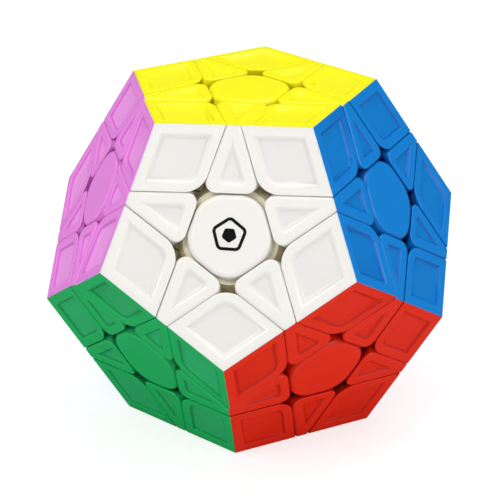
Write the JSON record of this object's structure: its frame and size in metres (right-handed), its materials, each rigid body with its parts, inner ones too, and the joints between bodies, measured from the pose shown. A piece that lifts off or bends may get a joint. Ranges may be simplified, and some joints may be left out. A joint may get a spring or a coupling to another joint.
{
  "type": "dodecahedron twisty puzzle",
  "caption": "Handheld dodecahedron puzzle with faces of one layer each that turn about a sprung core, in coloured glossy plastic.",
  "frame": {"origin": "centre of the core, where all the face axes meet", "axes": "+Z out of the yellow face, -Y towards the white face; the puzzle stands on its cream face, whose outward normal is -Z"},
  "size_m": [0.0784, 0.0824, 0.067],
  "materials": {
    "yellow_plastic": "glossy moulded plastic, coloured through",
    "white_plastic": "glossy moulded plastic, coloured through",
    "blue_plastic": "glossy moulded plastic, coloured through",
    "lime_plastic": "glossy moulded plastic, coloured through",
    "orange_plastic": "glossy moulded plastic, coloured through",
    "violet_plastic": "glossy moulded plastic, coloured through",
    "cream_plastic": "glossy moulded plastic, coloured through",
    "grey_plastic": "glossy moulded plastic, coloured through",
    "sky_plastic": "glossy moulded plastic, coloured through",
    "green_plastic": "glossy moulded plastic, coloured through",
    "red_plastic": "glossy moulded plastic, coloured through",
    "pink_plastic": "glossy moulded plastic, coloured through",
    "inner_plastic": "satin moulded plastic",
    "screw_steel": "zinc plated",
    "spring_steel": "bright spring wire"
  },
  "bodies": {
    "blue_middle": {"blue_cap": "blue_plastic", "blue_centre": "inner_plastic"},
    "fixed_pieces": {"core": "inner_plastic", "fixed_blue_shells": "blue_plastic", "fixed_cream_shells": "cream_plastic", "fixed_feet": "inner_plastic", "fixed_green_shells": "green_plastic", "fixed_grey_shells": "grey_plastic", "fixed_orange_shells": "orange_plastic", "fixed_pink_shells": "pink_plastic", "fixed_red_shells": "red_plastic", "fixed_violet_shells": "violet_plastic", "fixed_yellow_shells": "yellow_plastic", "screws": "screw_steel", "springs": "spring_steel", "washers": "screw_steel"},
    "cream_middle": {"cream_cap": "cream_plastic", "cream_centre": "inner_plastic"},
    "green_middle": {"green_cap": "green_plastic", "green_centre": "inner_plastic"},
    "grey_middle": {"grey_cap": "grey_plastic", "grey_centre": "inner_plastic"},
    "lime_middle": {"lime_cap": "lime_plastic", "lime_centre": "inner_plastic"},
    "lime_layer": {"lime_layer_blue_shells": "blue_plastic", "lime_layer_feet": "inner_plastic", "lime_layer_grey_shells": "grey_plastic", "lime_layer_lime_shells": "lime_plastic", "lime_layer_orange_shells": "orange_plastic", "lime_layer_pink_shells": "pink_plastic", "lime_layer_yellow_shells": "yellow_plastic"},
    "orange_middle": {"orange_cap": "orange_plastic", "orange_centre": "inner_plastic"},
    "pink_middle": {"pink_cap": "pink_plastic", "pink_centre": "inner_plastic"},
    "red_middle": {"red_cap": "red_plastic", "red_centre": "inner_plastic"},
    "sky_middle": {"sky_cap": "sky_plastic", "sky_centre": "inner_plastic"},
    "sky_layer": {"sky_layer_cream_shells": "cream_plastic", "sky_layer_feet": "inner_plastic", "sky_layer_green_shells": "green_plastic", "sky_layer_grey_shells": "grey_plastic", "sky_layer_orange_shells": "orange_plastic", "sky_layer_sky_shells": "sky_plastic", "sky_layer_violet_shells": "violet_plastic"},
    "violet_middle": {"violet_cap": "violet_plastic", "violet_centre": "inner_plastic"},
    "white_middle": {"white_cap": "white_plastic", "white_centre": "inner_plastic"},
    "white_layer": {"white_layer_blue_shells": "blue_plastic", "white_layer_feet": "inner_plastic", "white_layer_green_shells": "green_plastic", "white_layer_red_shells": "red_plastic", "white_layer_violet_shells": "violet_plastic", "white_layer_white_shells": "white_plastic", "white_layer_yellow_shells": "yellow_plastic"},
    "yellow_middle": {"yellow_cap": "yellow_plastic", "yellow_centre": "inner_plastic"}
  },
  "joints": [
    {"name": "white_turn", "type": "hinge", "parent": "fixed_pieces", "child": "white_layer", "pos_m": [0, 0, 0], "axis": [0, -0.8944, 0.4472], "continuous": true},
    {"name": "lime_turn", "type": "hinge", "parent": "fixed_pieces", "child": "lime_layer", "pos_m": [0, 0, 0], "axis": [0.5257, 0.7236, 0.4472], "continuous": true},
    {"name": "sky_turn", "type": "hinge", "parent": "fixed_pieces", "child": "sky_layer", "pos_m": [0, 0, 0], "axis": [-0.8507, 0.2764, -0.4472], "continuous": true},
    {"name": "yellow_lift", "type": "slide", "parent": "fixed_pieces", "child": "yellow_middle", "axis": [0, 0, 1], "range_m": [0, 0.0006], "stiffness_N_per_m": 460, "springref_m": -0.003, "deforming": ["springs"]},
    {"name": "white_lift", "type": "slide", "parent": "white_layer", "child": "white_middle", "axis": [0, -0.8944, 0.4472], "range_m": [0, 0.0006], "stiffness_N_per_m": 460, "springref_m": -0.003, "deforming": ["springs"]},
    {"name": "blue_lift", "type": "slide", "parent": "fixed_pieces", "child": "blue_middle", "axis": [0.8507, -0.2764, 0.4472], "range_m": [0, 0.0006], "stiffness_N_per_m": 460, "springref_m": -0.003, "deforming": ["springs"]},
    {"name": "lime_lift", "type": "slide", "parent": "lime_layer", "child": "lime_middle", "axis": [0.5257, 0.7236, 0.4472], "range_m": [0, 0.0006], "stiffness_N_per_m": 460, "springref_m": -0.003, "deforming": ["springs"]},
    {"name": "orange_lift", "type": "slide", "parent": "fixed_pieces", "child": "orange_middle", "axis": [-0.5257, 0.7236, 0.4472], "range_m": [0, 0.0006], "stiffness_N_per_m": 460, "springref_m": -0.003, "deforming": ["springs"]},
    {"name": "violet_lift", "type": "slide", "parent": "fixed_pieces", "child": "violet_middle", "axis": [-0.8507, -0.2764, 0.4472], "range_m": [0, 0.0006], "stiffness_N_per_m": 460, "springref_m": -0.003, "deforming": ["springs"]},
    {"name": "cream_lift", "type": "slide", "parent": "fixed_pieces", "child": "cream_middle", "axis": [0, 0, -1], "range_m": [0, 0.0006], "stiffness_N_per_m": 460, "springref_m": -0.003, "deforming": ["springs"]},
    {"name": "grey_lift", "type": "slide", "parent": "fixed_pieces", "child": "grey_middle", "axis": [0, 0.8944, -0.4472], "range_m": [0, 0.0006], "stiffness_N_per_m": 460, "springref_m": -0.003, "deforming": ["springs"]},
    {"name": "sky_lift", "type": "slide", "parent": "sky_layer", "child": "sky_middle", "axis": [-0.8507, 0.2764, -0.4472], "range_m": [0, 0.0006], "stiffness_N_per_m": 460, "springref_m": -0.003, "deforming": ["springs"]},
    {"name": "green_lift", "type": "slide", "parent": "fixed_pieces", "child": "green_middle", "axis": [-0.5257, -0.7236, -0.4472], "range_m": [0, 0.0006], "stiffness_N_per_m": 460, "springref_m": -0.003, "deforming": ["springs"]},
    {"name": "red_lift", "type": "slide", "parent": "fixed_pieces", "child": "red_middle", "axis": [0.5257, -0.7236, -0.4472], "range_m": [0, 0.0006], "stiffness_N_per_m": 460, "springref_m": -0.003, "deforming": ["springs"]},
    {"name": "pink_lift", "type": "slide", "parent": "fixed_pieces", "child": "pink_middle", "axis": [0.8507, 0.2764, -0.4472], "range_m": [0, 0.0006], "stiffness_N_per_m": 460, "springref_m": -0.003, "deforming": ["springs"]}
  ]
}
